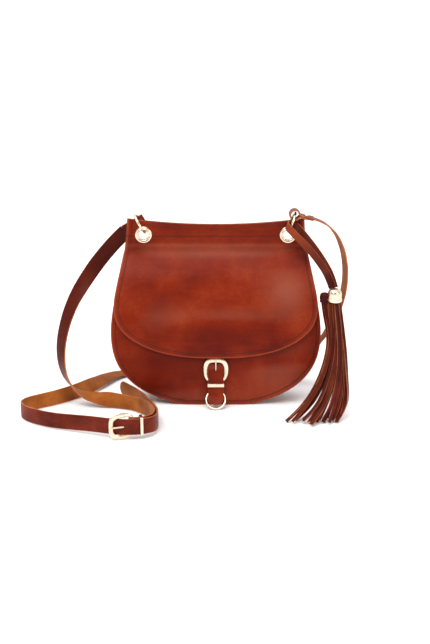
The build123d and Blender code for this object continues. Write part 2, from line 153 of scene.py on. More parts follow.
# ---- materials ----------------------------------------------------------------------------------
class Nodes:
    """Short names for building one material's node tree."""

    def __init__(self, name):
        self.mat = bpy.data.materials.new(name)
        self.mat.use_nodes = True
        self.tree = self.mat.node_tree
        self.sockets = self.tree.nodes["Principled BSDF"].inputs

    def node(self, kind, **values):
        made = self.tree.nodes.new(kind)
        for key, value in values.items():
            setattr(made, key, value)
        return made

    def link(self, a, b):
        self.tree.links.new(a, b)

    def rest(self):
        return self.node("ShaderNodeAttribute", attribute_name="rest").outputs["Vector"]

    def attribute(self, name):
        return self.node("ShaderNodeAttribute", attribute_name=name).outputs["Fac"]

    def noise(self, vector, scale, detail=3.0, rough=0.5, stretch=None):
        if stretch:
            mapping = self.node("ShaderNodeMapping")
            mapping.inputs["Scale"].default_value = stretch
            self.link(vector, mapping.inputs["Vector"])
            vector = mapping.outputs["Vector"]
        made = self.node("ShaderNodeTexNoise")
        made.inputs["Scale"].default_value = scale
        made.inputs["Detail"].default_value = detail
        made.inputs["Roughness"].default_value = rough
        self.link(vector, made.inputs["Vector"])
        return made.outputs["Fac"]

    def cells(self, vector, scale):
        made = self.node("ShaderNodeTexVoronoi")
        made.inputs["Scale"].default_value = scale
        self.link(vector, made.inputs["Vector"])
        return made.outputs["Distance"]

    def ramp(self, value, stops):
        made = self.node("ShaderNodeValToRGB")
        elements = made.color_ramp.elements
        while len(elements) < len(stops):
            elements.new(0.5)
        for element, (place, colour) in zip(elements, stops):
            element.position = place
            element.color = (*colour, 1) if len(colour) == 3 else colour
        self.link(value, made.inputs["Fac"])
        return made.outputs["Color"]

    def remap(self, value, low, high, to_low, to_high):
        made = self.node("ShaderNodeMapRange")
        for key, number in (("From Min", low), ("From Max", high), ("To Min", to_low), ("To Max", to_high)):
            made.inputs[key].default_value = number
        self.link(value, made.inputs["Value"])
        return made.outputs["Result"]

    def mix(self, factor, a, b, mode="MIX"):
        made = self.node("ShaderNodeMix", data_type="RGBA", blend_type=mode)
        for value, key in ((factor, 0), (a, 6), (b, 7)):
            if isinstance(value, (int, float)):
                made.inputs[key].default_value = value
            elif isinstance(value, tuple):
                made.inputs[key].default_value = (*value, 1)
            else:
                self.link(value, made.inputs[key])
        return made.outputs[2]

    def bump(self, height, distance, strength, below=None):
        made = self.node("ShaderNodeBump")
        made.inputs["Distance"].default_value = distance
        made.inputs["Strength"].default_value = strength
        self.link(height, made.inputs["Height"])
        if below is not None:
            self.link(below, made.inputs["Normal"])
        return made.outputs["Normal"]


SUNK = (0.35,) * 3          # shade in a seam's groove


def leather_material(name, dark, mid, light, pale, seams=False):
    """Smooth vegetable-tanned leather: clouded colour, fine pores, slight creases, a painted highlight along
    the rim.
    """
    n = Nodes(name)
    rest = n.rest()
    clouds = n.noise(rest, 16, 4, 0.55)
    colour = n.ramp(clouds, [(0.32, dark), (0.52, mid), (0.72, light)])
    flecks = n.noise(rest, 260, 3, 0.6)
    colour = n.mix(n.remap(flecks, 0.35, 0.75, 0.0, 0.35), colour, dark)
    streaks = n.noise(rest, 60, 2, 0.5, (0.4, 1, 3))
    colour = n.mix(n.remap(streaks, 0.45, 0.8, 0.0, 0.14), colour, light)
    rim = n.attribute("rim")
    # The tone attribute mixes in the pale colour above zero and the dark colour below zero; on the flap and
    # front panel these are painted highlight and painted shade.
    tone = n.attribute("tone")
    colour = n.mix(n.remap(tone, 0.0, 1.0, 0.0, 0.75), colour, pale)
    colour = n.mix(n.remap(tone, 0.0, -1.0, 0.0, 0.8), colour, dark)
    if seams:
        groove = n.ramp(rim, [(0.0, SUNK), (0.05, WHITE), (0.455, WHITE), (0.495, SUNK), (0.57, SUNK),
                              (0.61, WHITE)])
        parts = n.node("ShaderNodeSeparateXYZ")
        n.link(rest, parts.inputs["Vector"])
        band = n.ramp(n.remap(parts.outputs["Z"], BAND_SEAM * MM - 0.005, BAND_SEAM * MM + 0.005, 0, 1),
                      [(0.0, WHITE), (0.42, WHITE), (0.46, SUNK), (0.54, SUNK), (0.58, WHITE)])
        # Painted highlight: the band along the rim is mixed toward a paler copy of the light colour.
        painted_rim_highlight = n.ramp(rim, [(0.0, WHITE), (0.09, (0.75,) * 3), (0.17, (0, 0, 0))])
        colour = n.mix(painted_rim_highlight, colour, tuple(c * 1.15 + 0.01 for c in light))
        colour = n.mix(0.9, colour, n.mix(groove, dark, WHITE), "MULTIPLY")
        colour = n.mix(0.9, colour, n.mix(band, dark, WHITE), "MULTIPLY")
    n.link(colour, n.sockets["Base Color"])
    n.link(n.remap(n.noise(rest, 45, 3), 0.3, 0.7, 0.30, 0.44), n.sockets["Roughness"])
    n.sockets["Specular IOR Level"].default_value = 0.08
    pores = n.bump(n.cells(rest, 1100), 0.00025, 0.35)
    creases = n.bump(n.noise(rest, 130, 5, 0.62), 0.0008, 0.35, pores)
    swells = n.bump(n.noise(rest, 28, 2), 0.004, 0.25, creases)
    n.link(swells, n.sockets["Normal"])
    return n.mat


def suede_material(name, dark, light):
    """The raw flesh side: short matted nap."""
    n = Nodes(name)
    rest = n.rest()
    fibres = n.noise(rest, 520, 5, 0.7)
    patches = n.noise(rest, 40, 3)
    colour = n.ramp(patches, [(0.3, dark), (0.7, light)])
    colour = n.mix(n.remap(fibres, 0.35, 0.7, 0.0, 0.55), colour, dark)
    n.link(colour, n.sockets["Base Color"])
    n.sockets["Roughness"].default_value = 0.92
    n.sockets["Sheen Weight"].default_value = 0.1
    n.sockets["Sheen Roughness"].default_value = 0.5
    n.sockets["Specular IOR Level"].default_value = 0.06
    n.link(n.bump(fibres, 0.0006, 0.7), n.sockets["Normal"])
    return n.mat


def edge_material(name, dark, light):
    """A cut edge: layered fibres along the thickness, with patches of wear."""
    n = Nodes(name)
    rest = n.rest()
    layers = n.noise(rest, 700, 4, 0.65)
    wear = n.noise(rest, 90, 3)
    colour = n.ramp(wear, [(0.3, dark), (0.65, light)])
    colour = n.mix(n.remap(layers, 0.4, 0.75, 0.0, 0.5), colour, dark)
    n.link(colour, n.sockets["Base Color"])
    n.sockets["Roughness"].default_value = 0.6
    n.sockets["Specular IOR Level"].default_value = 0.2
    n.link(n.bump(layers, 0.0004, 0.6), n.sockets["Normal"])
    return n.mat


def metal_material(name, colour, tarnish, rough):
    """Polished plated metal with fine wipe marks and clouds of slightly darker tarnish."""
    n = Nodes(name)
    rest = n.node("ShaderNodeTexCoord").outputs["Object"]
    marks = n.noise(rest, 900, 3, 0.6, (1, 1, 0.15))
    clouds = n.noise(rest, 120, 3)
    n.link(n.mix(n.remap(clouds, 0.45, 0.8, 0.0, 0.5), colour, tarnish), n.sockets["Base Color"])
    n.sockets["Metallic"].default_value = 1.0
    n.link(n.remap(marks, 0.3, 0.7, rough - 0.05, rough + 0.1), n.sockets["Roughness"])
    n.link(n.bump(marks, 0.00004, 0.12), n.sockets["Normal"])
    return n.mat


def thread_material(name, colour):
    n = Nodes(name)
    twist = n.noise(n.rest(), 2600, 2)
    shaded = n.mix(n.remap(twist, 0.3, 0.7, 0, 0.6), colour, tuple(c * 0.4 for c in colour))
    n.link(shaded, n.sockets["Base Color"])
    n.sockets["Roughness"].default_value = 0.7
    n.link(n.bump(twist, 0.0003, 0.6), n.sockets["Normal"])
    return n.mat


def floor_material():
    n = Nodes("studio_floor")
    n.sockets["Base Color"].default_value = (0.93, 0.93, 0.94, 1)
    n.sockets["Roughness"].default_value = 0.6
    n.sockets["Specular IOR Level"].default_value = 0.2
    return n.mat


make_camera()
make_studio()
# pale: the colour that tone above zero mixes in, a painted highlight on the flap and front panel.
BODY = leather_material("body_leather", (0.09, 0.005, 0.0015), (0.17, 0.013, 0.002), (0.24, 0.028, 0.006),
                        pale=(0.25, 0.075, 0.046), seams=True)
PLAIN = leather_material("plain_leather", (0.08, 0.005, 0.0015), (0.15, 0.012, 0.003), (0.21, 0.025, 0.006),
                         pale=(0.24, 0.055, 0.03))
STRAP = leather_material("strap_leather", (0.05, 0.005, 0.002), (0.16, 0.018, 0.007), (0.23, 0.037, 0.016),
                         pale=(0.28, 0.06, 0.03))
FRINGE = leather_material("tassel_leather", (0.03, 0.002, 0.001), (0.06, 0.005, 0.003), (0.13, 0.015, 0.006),
                          pale=(0.25, 0.045, 0.014))
SUEDE = suede_material("flesh_side", (0.18, 0.045, 0.007), (0.42, 0.125, 0.02))
# A darker copy of the flesh side: painted shade, for the lace's flesh side and the fringe strips' flesh
# sides.
SHADE = suede_material("shaded_flesh_side", (0.06, 0.007, 0.003), (0.12, 0.019, 0.007))
EDGE = edge_material("cut_edge", (0.24, 0.055, 0.018), (0.46, 0.15, 0.055))
RIM = edge_material("burnished_edge", (0.12, 0.014, 0.004), (0.27, 0.06, 0.022))
GOLD = metal_material("pale_gold", (0.83, 0.68, 0.52), (0.58, 0.42, 0.28), 0.2)
STEEL = metal_material("steel_snap", (0.75, 0.75, 0.74), (0.45, 0.44, 0.42), 0.3)
THREAD = thread_material("thread", (0.035, 0.004, 0.002))


# ---- curves and meshes --------------------------------------------------------------------------
def through(points, count, ends=None):
    """Evenly spaced points on a cubic spline through the given ones; ends are optional directions."""
    p = np.array(points, float)
    chord = np.r_[0, np.cumsum(np.linalg.norm(np.diff(p, axis=0), axis=1))]
    h = np.diff(chord)
    size = len(p)
    a, b = np.zeros((size, size)), np.zeros_like(p)
    for i in range(1, size - 1):
        a[i, i - 1], a[i, i], a[i, i + 1] = h[i], 2 * (h[i - 1] + h[i]), h[i - 1]
        b[i] = 3 * (h[i] * (p[i] - p[i - 1]) / h[i - 1] + h[i - 1] * (p[i + 1] - p[i]) / h[i])
    if ends is None:
        a[0, :2], b[0] = (2, 1), 3 * (p[1] - p[0]) / h[0]
        a[-1, -2:], b[-1] = (1, 2), 3 * (p[-1] - p[-2]) / h[-1]
    else:
        for row, end in ((0, ends[0]), (-1, ends[1])):
            a[row, row] = 1
            b[row] = np.array(end, float) / np.linalg.norm(end)
    slope = np.linalg.solve(a, b)
    fine = np.linspace(0, chord[-1], max(400, 4 * count))
    i = np.clip(np.searchsorted(chord, fine, side="right") - 1, 0, size - 2)
    u = ((fine - chord[i]) / h[i])[:, None]
    span = h[i][:, None]
    curve = ((1 + 2 * u) * (1 - u) ** 2 * p[i] + u * (1 - u) ** 2 * span * slope[i]
             + u * u * (3 - 2 * u) * p[i + 1] + u * u * (u - 1) * span * slope[i + 1])
    return even(curve, count)


def lengths(curve):
    return np.r_[0, np.cumsum(np.linalg.norm(np.diff(curve, axis=0), axis=1))]


def even(curve, count):
    """count points at even spacing along a polyline."""
    s = lengths(curve)
    want = np.linspace(0, s[-1], count)
    return np.stack([np.interp(want, s, curve[:, k]) for k in range(curve.shape[1])], axis=1)


def both_sides(line, count):
    """A line on the right joined with its mirror image on the left, as one run of even points."""
    return even(np.vstack([(line * (-1, 1))[::-1], line]), count)


def unit(v):
    return v / np.maximum(np.linalg.norm(v, axis=-1, keepdims=True), 1e-9)


def keep(data, name, values, kind="FLOAT", key="value"):
    """A value at each point of a mesh, for the materials to read."""
    data.attributes.new(name, kind, "POINT").data.foreach_set(key, values)


def mesh_object(name, verts, faces, materials, slots=None, rim=None, smooth=50, tone=None):
    """A mesh in millimetres, with its resting place kept as an attribute for the materials."""
    data = bpy.data.meshes.new(name)
    verts = np.array(verts, float) * MM
    data.from_pydata(verts.tolist(), [], [tuple(f) for f in faces])
    for material in materials:
        data.materials.append(material)
    if slots is not None:
        data.polygons.foreach_set("material_index", np.array(slots, np.int32))
    keep(data, "rest", verts.ravel(), "FLOAT_VECTOR", "vector")
    values = np.full(len(verts), 1.0) if rim is None else np.array(rim)
    keep(data, "rim", values.astype(np.float32))
    shade = np.zeros(len(verts)) if tone is None else np.array(tone)
    keep(data, "tone", shade.astype(np.float32))
    data.polygons.foreach_set("use_smooth", [True] * len(data.polygons))
    data.set_sharp_from_angle(angle=math.radians(smooth))
    data.update()
    return add(name, data)


def grid_normals(grid):
    du = np.gradient(grid, axis=1)
    dv = np.gradient(grid, axis=0)
    return unit(np.cross(du, dv))


def shell(name, outer, thickness, materials, holes=(), rim_value=None, flip=False, tone_value=None):
    """A sheet of leather with an outer face on a grid of points, an inner face, and a rounded cut edge."""
    rows, cols, _ = outer.shape
    normal = grid_normals(outer)
    if flip:
        normal = -normal
    inner = outer - normal * thickness
    edge = ([(0, c) for c in range(cols)] + [(r, cols - 1) for r in range(1, rows)]
            + [(rows - 1, c) for c in range(cols - 2, -1, -1)] + [(r, 0) for r in range(rows - 2, 0, -1)])
    verts = list(outer.reshape(-1, 3)) + list(inner.reshape(-1, 3))
    rim = [1.0] * len(verts) if rim_value is None else list(rim_value.ravel()) * 2
    tone = [0.0] * len(verts) if tone_value is None else list(tone_value.ravel()) * 2
    area = rows * cols
    faces, slots = [], []
    for r in range(rows - 1):
        for c in range(cols - 1):
            k = r * cols + c
            middle = (outer[r, c] + outer[r + 1, c + 1]) / 2
            if any(math.hypot(middle[0] - hx, middle[2] - hz) < hr for hx, hz, hr in holes):
                continue
            quad = [k, k + 1, k + cols + 1, k + cols]
            faces += [quad[::-1] if flip else quad, [q + area for q in (quad if flip else quad[::-1])]]
            slots += [0, 1]
    rings = []
    loop = np.array([outer[r, c] for r, c in edge])
    normals = np.array([normal[r, c] for r, c in edge])
    along = unit(np.roll(loop, -1, 0) - np.roll(loop, 1, 0))
    out = np.cross(along, normals) * (1 if not flip else -1)
    centre_hint = loop.mean(0)
    if np.mean(np.sum(out * (loop - centre_hint), axis=1)) < 0:
        out = -out
    for angle in (40, 90, 140):
        a = math.radians(angle)
        ring = loop - normals * thickness / 2 * (1 - math.cos(a)) + out * thickness * 0.35 * math.sin(a)
        rings.append([len(verts) + i for i in range(len(edge))])
        verts += list(ring)
        rim += [0.0] * len(edge)
        tone += [0.0] * len(edge)
    top = [r * cols + c for r, c in edge]
    bottom = [k + area for k in top]
    chain = [top, *rings, bottom]
    for a, b in zip(chain, chain[1:]):
        for i in range(len(edge)):
            j = (i + 1) % len(edge)
            quad = [a[i], b[i], b[j], a[j]]
            faces.append(quad[::-1] if flip else quad)
            slots.append(2)
    return mesh_object(name, verts, faces, materials, slots, rim, tone=tone)


def coons(bottom, right, top, left):
    """A grid of points inside four edge curves; bottom and top run left to right, the sides upward."""
    cols, rows = len(bottom), len(right)
    s = np.linspace(0, 1, cols)[None, :, None]
    t = np.linspace(0, 1, rows)[:, None, None]
    flat = (1 - t) * bottom[None] + t * top[None] + (1 - s) * left[:, None] + s * right[:, None]
    corners = ((1 - s) * (1 - t) * bottom[0] + s * (1 - t) * bottom[-1]
               + (1 - s) * t * top[0] + s * t * top[-1])
    return flat - corners


def patch(right_side, corner, top, cols, rows):
    """The grid for a face that is even left to right: its right side's curve, lower corner and top."""
    split = int(np.argmin(np.abs(right_side[:, 0] - corner)))
    low = right_side[:split + 1]
    bottom = both_sides(low, cols)
    right = even(right_side[split:], rows)
    return coons(bottom, right, top(cols), right * (-1, 1))


def rim_distance(grid_xz, curve):
    """Distance of each grid point to an outline, as a share of one centimetre."""
    flat = grid_xz.reshape(-1, 2)
    base = np.stack([np.linspace(-curve[0, 0], curve[0, 0], 60), np.full(60, curve[0, 1])], 1)
    both = np.vstack([curve, curve * (-1, 1), base])
    best = np.full(len(flat), 1e9)
    for start in range(0, len(both), 60):
        part = both[start:start + 60]
        best = np.minimum(best, np.linalg.norm(flat[:, None] - part[None], axis=2).min(1))
    return np.clip(best / 10, 0, 1).reshape(grid_xz.shape[:2])


def inset(curve, depth):
    """A side curve moved to its left by depth, the right side of a face being walked upward."""
    along = unit(np.gradient(curve, axis=0))
    return curve + np.stack([-along[:, 1], along[:, 0]], 1) * depth


def stitches(name, line, normals, pitch=3.7, length=2.3, radius=0.45):
    """Small raised thread stitches along a line on a surface."""
    s = lengths(line)
    verts, faces = [], []
    count = int(s[-1] / pitch)
    for i in range(count):
        middle = (i + 0.5) * s[-1] / count
        ends = []
        for d in (-0.5, -0.28, 0.28, 0.5):
            at = middle + d * length
            point = np.array([np.interp(at, s, line[:, k]) for k in range(3)])
            normal = unit(np.array([np.interp(at, s, normals[:, k]) for k in range(3)]))
            ends.append((point, normal))
        along = unit(ends[-1][0] - ends[0][0])
        base = len(verts)
        for (point, normal), r in zip(ends, (0.35, 1.0, 1.0, 0.35)):
            side = np.cross(along, normal)
            for k in range(6):
                a = k * math.pi / 3
                lift = radius * (0.15 + r * 0.8 * math.sin(a))
                verts.append(point + normal * lift + side * radius * r * math.cos(a))
        for ring in range(3):
            for k in range(6):
                a, b = base + ring * 6 + k, base + ring * 6 + (k + 1) % 6
                faces.append([a, b, b + 6, a + 6])
        faces += [[base + k for k in range(6)][::-1], [base + 18 + k for k in range(6)]]
    return mesh_object(name, verts, faces, [THREAD])


# ---- the body -----------------------------------------------------------------------------------
side_curve = through(SIDE, 260, ((1, 0), (-0.05, 1)))
flap_curve = through(FLAP_SIDE, 300, ((1, 0), (-0.08, 1)))
front_line = through(FRONT, 200)
flap_line = through(FLAP_FACE, 300)


def front_y(z):
    return np.interp(z, front_line[:, 1], front_line[:, 0])


def top_edge(x, half=CORNER_X):
    return CORNER_Z - TOP_DIP * (1 - (x / half) ** 2)


def bowl(x, z):
    """How far the front panel swells where the bag is fullest."""
    return 2.2 * np.exp(-((x / 95) ** 2) - ((z - 70) / 60) ** 2)


def front_face(x, z):
    return front_y(z) - 0.4 * bowl(x, z)


def back_swell(x, z):
    return 1.6 * np.exp(-((x / 80) ** 2) - ((z - 95) / 70) ** 2)


def round_foot(curve):
    """Lifts the lowest part of a panel's outline off the floor."""
    curve[:, 1] += 1.5 * np.exp(-np.maximum(curve[:, 1] + PROUD, 0) / 25)


# Painted light on the front panel: the pale patches are painted highlights, the dark patch on the left is
# painted shade, and the dark band just under the flap's lower edge is a painted shadow.
def panel_painted_light(x, z):
    pale = 0.45 * spot(x, z, (85, 45), (40, 32)) + 0.3 * spot(x, z, (-30, 12), (70, 10))
    return pale - 0.7 * spot(x, z, (-75, 52), (38, 26)) - 0.6 * spot(x, z, (0, 62), (120, 9))


def make_front_panel():
    proud = inset(side_curve, -PROUD)
    curve = proud[proud[:, 1] <= FRONT_TOP_Z]
    round_foot(curve)
    half = curve[-1, 0]

    def top(n):
        return np.stack([np.linspace(-half, half, n), np.full(n, FRONT_TOP_Z)], 1)

    grid = patch(curve, 100, top, 130, 96)
    x, z = grid[..., 0], grid[..., 1]
    rim = rim_distance(grid, curve)
    y = front_face(x, z) + 0.5 * np.exp(-(rim * 10 / 2.5) ** 2)
    face = np.stack([x, y, z], -1)
    panel = shell("front_panel_leather", face, LEATHER, [BODY, SUEDE, RIM], rim_value=rim,
                  tone_value=panel_painted_light(x, z))
    on_bag(panel, "front_panel")
    line = inset(proud, SEAM + 0.4)
    line = line[line[:, 1] <= FRONT_TOP_Z - 2]
    seam_on_front("front_panel_stitches", line)


def on_bag(obj, node=None):
    """Fixes a piece to the bag; a panel takes the place of its CAD node."""
    if node:
        stand_in(obj, "bag", node)
    else:
        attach(obj, "bag")


def stand_in(obj, body, node):
    """A piece that moves with a body and takes the place of a CAD node."""
    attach(obj, body)
    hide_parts(node)


def seam_on_front(name, line):
    both = both_sides(line, 500)
    y = front_face(both[:, 0], both[:, 1])
    points = np.stack([both[:, 0], y, both[:, 1]], 1)
    slope = np.gradient(front_line[:, 0], front_line[:, 1])
    tilt = np.interp(both[:, 1], front_line[:, 1], slope)
    normals = unit(np.stack([np.zeros(len(both)), -np.ones(len(both)), tilt], 1))
    on_bag(stitches(name, points, normals))


def make_back_panel():
    curve = inset(side_curve, -PROUD)
    round_foot(curve)
    grid = patch(curve, 100, lambda n: top_line(n, curve[-1, 0]), 136, 120)
    x, z = grid[..., 0], grid[..., 1]
    rim = rim_distance(grid, curve)
    face = np.stack([x, BACK_Y + back_swell(x, z), z], -1)
    obj = shell("back_panel_leather", face, LEATHER, [BODY, SUEDE, RIM], GROMMET_CUTS, rim, flip=True)
    on_bag(obj, "back_panel")
    line = inset(curve, SEAM)
    line = line[line[:, 1] <= 232]
    both = both_sides(line, 600)
    points = np.stack([both[:, 0], BACK_Y + back_swell(both[:, 0], both[:, 1]), both[:, 1]], 1)
    normals = np.tile((0.0, 1.0, 0.0), (len(both), 1))
    on_bag(stitches("back_panel_stitches", points, normals))


def top_line(n, half):
    x = np.linspace(-half, half, n)
    return np.stack([x, top_edge(x, half)], 1)


def make_gusset():
    """The side strip between the two panels, drawn in a little along its middle."""
    clipped = inset(side_curve, 1.0)
    clipped = clipped[clipped[:, 1] <= FRONT_TOP_Z - 1]
    loop = both_sides(clipped, 240)
    along = unit(np.gradient(loop, axis=0))
    inward = np.stack([-along[:, 1], along[:, 0]], 1)
    rows = []
    for share in np.linspace(0, 1, 17):
        y_front = front_y(loop[:, 1]) + LEATHER - 0.3
        y = y_front + share * (BACK_Y - LEATHER + 0.3 - y_front)
        fullness = np.clip((loop[:, 1] - 14) / 60, 0, 1)
        draw = 6.0 * math.sin(math.pi * share) * fullness
        moved = loop + inward * draw[:, None]
        rows.append(np.stack([moved[:, 0], y, moved[:, 1]], 1))
    obj = shell("gusset_leather", np.array(rows), 1.8, [PLAIN, SUEDE, RIM], flip=True)
    on_bag(obj, "gusset")


# ---- the flap with its band: one sheet ----------------------------------------------------------
flap_run = lengths(flap_line)


def run_of(z):
    """Distance along the flap's face from its top, at a height."""
    return np.interp(-z, -flap_line[:, 1], flap_run)


def flap_swell(x, z):
    """Soft waves that leather keeps after it is folded over."""
    wave = 1.5 * np.exp(-((x - 70) / 34) ** 2 - ((z - 168) / 20) ** 2)
    wave += 1.2 * np.exp(-((x + 60) / 40) ** 2 - ((z - 172) / 18) ** 2)
    wave -= 1.1 * np.exp(-((x - 10) / 34) ** 2 - ((z - 150) / 30) ** 2)
    wave += 1.2 * np.exp(-((x / 70) ** 2) - ((z - 110) / 26) ** 2)
    wave += 1.4 * np.exp(-((x / 105) ** 4) - ((z - 197) / 5.5) ** 2)
    return wave


def spot(x, z, centre, spread):
    return np.exp(-((x - centre[0]) / spread[0]) ** 2 - ((z - centre[1]) / spread[1]) ** 2)


def flap_painted_light(x, z):
    """Painted light on the flap: the pale patches are painted highlights (the shelf under the band, the right
    side), the dark ones painted shade (under the lace, the band, the left edge, the lower middle).
    """
    pale = 0.75 * spot(x, z, (92, 152), (26, 26)) + 0.35 * spot(x, z, (20, 122), (58, 9))
    pale += 0.55 * spot(x, z, (0, 199), (115, 7)) + 0.30 * spot(x, z, (-70, 120), (34, 16))
    dark = 1.0 * spot(x, z, (8, 97), (46, 13)) + 0.35 * spot(x, z, (-105, 165), (16, 40))
    dark += 0.35 * spot(x, z, (95, 188), (26, 9)) + 0.25 * spot(x, z, (0, 226), (120, 7))
    return pale - dark


def flap_place(x, run):
    y = np.interp(run, flap_run, flap_line[:, 0])
    z = np.interp(run, flap_run, flap_line[:, 1])
    dy = np.gradient(flap_line[:, 0], flap_run)
    dz = np.gradient(flap_line[:, 1], flap_run)
    ny, nz = np.interp(run, flap_run, dz), -np.interp(run, flap_run, dy)
    lift = flap_swell(x, z)
    normal = np.stack([np.zeros_like(ny), ny, nz], -1)
    return np.stack([x, y + lift * ny, z + lift * nz], -1), unit(normal)


def make_flap():
    unrolled = even(np.stack([flap_curve[:, 0], -run_of(flap_curve[:, 1])], 1), 500)

    def top(n):
        x = np.linspace(-unrolled[-1, 0], unrolled[-1, 0], n)
        return np.stack([x, -run_of(top_edge(x, unrolled[-1, 0]))], 1)

    grid = patch(unrolled, 117, top, 136, 128)
    rim = rim_distance(grid, unrolled)
    face, _ = flap_place(grid[..., 0], -grid[..., 1])
    obj = shell("flap_leather", face, LEATHER, [BODY, SUEDE, RIM], GROMMET_CUTS, rim,
                tone_value=flap_painted_light(face[..., 0], face[..., 2]))
    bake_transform(obj)
    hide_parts("flap", "flap_band")
    line = inset(unrolled, SEAM)
    line = line[-line[:, 1] >= run_of(229.0)]
    both = both_sides(line, 700)
    points, normals = flap_place(both[:, 0], -both[:, 1])
    sewn = stitches("flap_edge_stitches", points, normals)
    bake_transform(sewn)
    x = np.linspace(-108, 108, 300)
    for name, z in (("band_stitches_low", BAND_SEAM), ("band_stitches_high", None)):
        height = np.full(300, z) if z else top_edge(x) - 4.0
        clear = np.min([np.hypot(x - hx, height - hz) for hx, hz in GROMMETS], axis=0) > FLANGE_R
        clear &= np.abs(x) < 95
        points, normals = flap_place(x, run_of(height))
        on_bag(stitches(name, points[clear], normals[clear]))


# ---- straps -------------------------------------------------------------------------------------
UP, DEEP, TURNED = (0, 0, 1), (0, 1, 0), (-0.2, 1, 0)
RIGHT_START = (128.0, 25.7, 239.7)
SHORT_ROUTE = [
    ((-120.3, 36.9, 220.5), (-0.5, 0, 0.866)), ((-132, 37, 210), (-0.62, 0, 0.78)),
    ((-156, 31, 183), (-0.72, 0, 0.70)), ((-176, 24, 155), (-0.78, 0.3, 0.55)),
    ((-191, 15, 130), (-0.72, 0.58, 0.38)), ((-201, 5, 103), (-0.68, 0.70, 0.22)),
    ((-206, -7, 76), (-0.64, 0.76, 0.08)), ((-204, -19, 51), (-0.55, 0.83, 0.08)),
    ((-195, -29, 31), (-0.45, 0.9, 0.0)), ((-179, -34, 17), (-0.35, 0.95, 0.1)),
    ((-157, -36, 11.5), (-0.1, 0.85, 0.4)), ((-131, -43, 10.5), (0, 0.15, 1)),
    ((-108, -53, 10.5), (0, -0.15, 1)), ((-92, -69, 11.5), UP), ((-81.5, -87, 12.5), UP),
    ((-76.5, -105, 13.5), UP), ((-75.5, -123, 15), UP), ((-79, -136.5, 16), UP),
    ((-86.4, -142.9, 16.6), UP),
]
LONG_ROUTE = [
    (RIGHT_START, DEEP), ((141, 26, 236), DEEP), ((157, 26.5, 223), (-0.12, 1, 0)),
    ((168, 27, 202), TURNED), ((173.5, 28, 176), TURNED), ((174, 30, 149), TURNED),
    ((169, 34, 121), TURNED), ((160, 40, 94), TURNED), ((147, 48, 68), DEEP), ((129, 58, 42), DEEP),
    ((105, 69, 20), (0.1, 1, 0)), ((74, 79, 6), (0.3, 1, 0)), ((34, 88, 2.6), (0.25, 1, 0)),
    ((-10, 97, 2.2), (0.15, 1, 0)), ((-56, 104, 2.4), DEEP), ((-100, 107, 2.2), (-0.2, 1, 0)),
    ((-132, 97, 3.4), (-0.6, 0.8, 0.0)), ((-150, 72, 7), (-0.85, 0.5, 0.15)),
    ((-162, 40, 9.5), (-0.85, 0.4, 0.45)), ((-175, 12, 10.5), (-0.5, 0.25, 0.85)),
    ((-190, -10, 10.5), (-0.2, 0.2, 1)), ((-208, -29, 10.5), (-0.1, 0.1, 1)), ((-228, -44, 10.5), UP),
    ((-244, -57, 10.5), UP), ((-250, -73, 10.5), UP), ((-240, -90, 10.5), UP), ((-222, -105, 11), UP),
    ((-199, -119, 12), UP), ((-173, -129, 13.5), UP), ((-149, -139.5, 15.5), UP),
    ((-124.7, -150.7, 16.6), UP), ((-99.3, -153.8, 16.6), UP), ((-84.7, -148.4, 16.2), UP),
    ((-74.5, -139.5, 15.3), UP), ((-71.3, -123, 13.6), UP), ((-72.5, -104, 12), UP), ((-77.5, -84, 11), UP),
    ((-87, -59, 10.3), UP), ((-98, -34, 10.2), UP), ((-113.5, -10, 10.2), UP), ((-130, 13, 10.2), UP),
]


def follow(points):
    """The line that a smooth curve makes from its control points, in millimetres."""
    data = bpy.data.curves.new("route", "CURVE")
    data.dimensions = "3D"
    spline = data.splines.new("NURBS")
    spline.points.add(len(points) - 1)
    for point, place in zip(spline.points, points):
        point.co = (*[c * MM for c in place], 1)
    spline.order_u = 3
    spline.use_endpoint_u = True
    spline.resolution_u = 12
    holder = add("route", data)
    line = bpy.data.meshes.new_from_object(holder)
    places = np.array([v.co for v in line.vertices]) / MM
    bpy.data.objects.remove(holder)
    bpy.data.meshes.remove(line)
    return places


